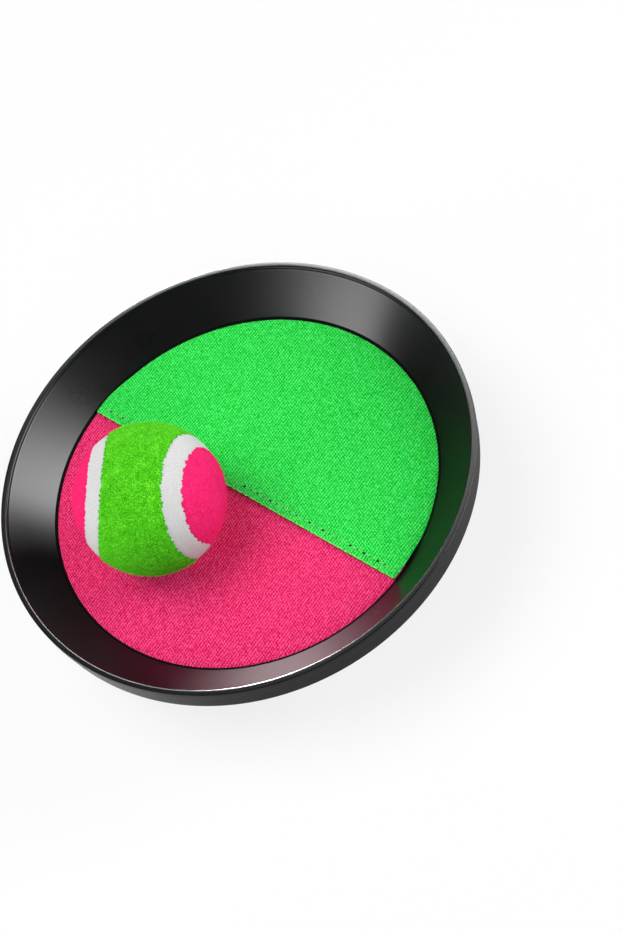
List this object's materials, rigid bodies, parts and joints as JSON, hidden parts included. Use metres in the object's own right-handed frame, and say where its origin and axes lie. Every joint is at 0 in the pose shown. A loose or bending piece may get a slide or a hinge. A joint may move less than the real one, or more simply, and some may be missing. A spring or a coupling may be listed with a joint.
{
  "type": "hook and loop catch paddle",
  "caption": "Round moulded dish with a two-colour loop pad that catches a felt ball, worn on the hand by a hook and loop strap across its back.",
  "frame": {"origin": "on the disc's axis, at the underside of the hand strap that the paddle lies on", "axes": "+Z along the disc's axis, out of the catch face; +X along the hand strap, towards its peeling end; +Y across the strap"},
  "size_m": [0.19, 0.19, 0.0961],
  "materials": {
    "black_plastic": "satin gloss moulded plastic",
    "foam": "closed-cell foam sheet",
    "pink_loop": "knitted nylon loop",
    "green_loop": "knitted nylon loop",
    "green_thread": "polyester thread",
    "webbing": "woven nylon webbing",
    "hook_tape": "moulded nylon hooks",
    "loop_tape": "brushed nylon loops",
    "pink_thread": "dense zigzag stitching",
    "tab_tape": "smooth folded tape",
    "ball_rubber": "moulded rubber",
    "green_felt": "needled felt nap",
    "pale_seam": "short pale nap",
    "pink_felt": "needled felt nap"
  },
  "bodies": {
    "paddle": {"shell": "black_plastic", "pad_foam": "foam", "pad_pink": "pink_loop", "pad_green": "green_loop", "seam_stitches": "green_thread", "strap_run": "webbing"},
    "strap": {"strap_outer": "webbing"},
    "tail": {"strap_tail": "webbing", "hook_tape": "hook_tape", "stitch_bar": "pink_thread", "end_tab": "tab_tape"},
    "loop_end": {"strap_loop_end": "webbing", "loop_tape": "loop_tape"},
    "ball": {"core_half_upper": "ball_rubber", "core_half_lower": "ball_rubber", "felt_green": "green_felt", "felt_pink": "pink_felt", "ball_seam_right": "pale_seam", "ball_seam_left": "pale_seam", "ball_seam_back": "pale_seam", "ball_seam_front": "pale_seam"}
  },
  "joints": [
    {"name": "strap_swing", "type": "hinge", "parent": "paddle", "child": "strap", "pos_m": [-0.058, 0, 0.02955], "axis": [0, 1, 0], "range_deg": [0, 95]},
    {"name": "tail_peel", "type": "hinge", "parent": "strap", "child": "tail", "pos_m": [0.00815, 0, 0], "axis": [0, 1, 0], "range_deg": [0, 120]},
    {"name": "loop_end_swing", "type": "hinge", "parent": "paddle", "child": "loop_end", "pos_m": [0.058, 0, 0.02955], "axis": [0, -1, 0], "range_deg": [0, 58]},
    {"name": "ball_lift", "type": "slide", "parent": "paddle", "child": "ball", "axis": [0, 0, 1], "range_m": [0, 0.12]}
  ],
  "couplings": [
    {"joint": "loop_end_swing", "follows": "strap_swing", "ratio": 0.6}
  ]
}
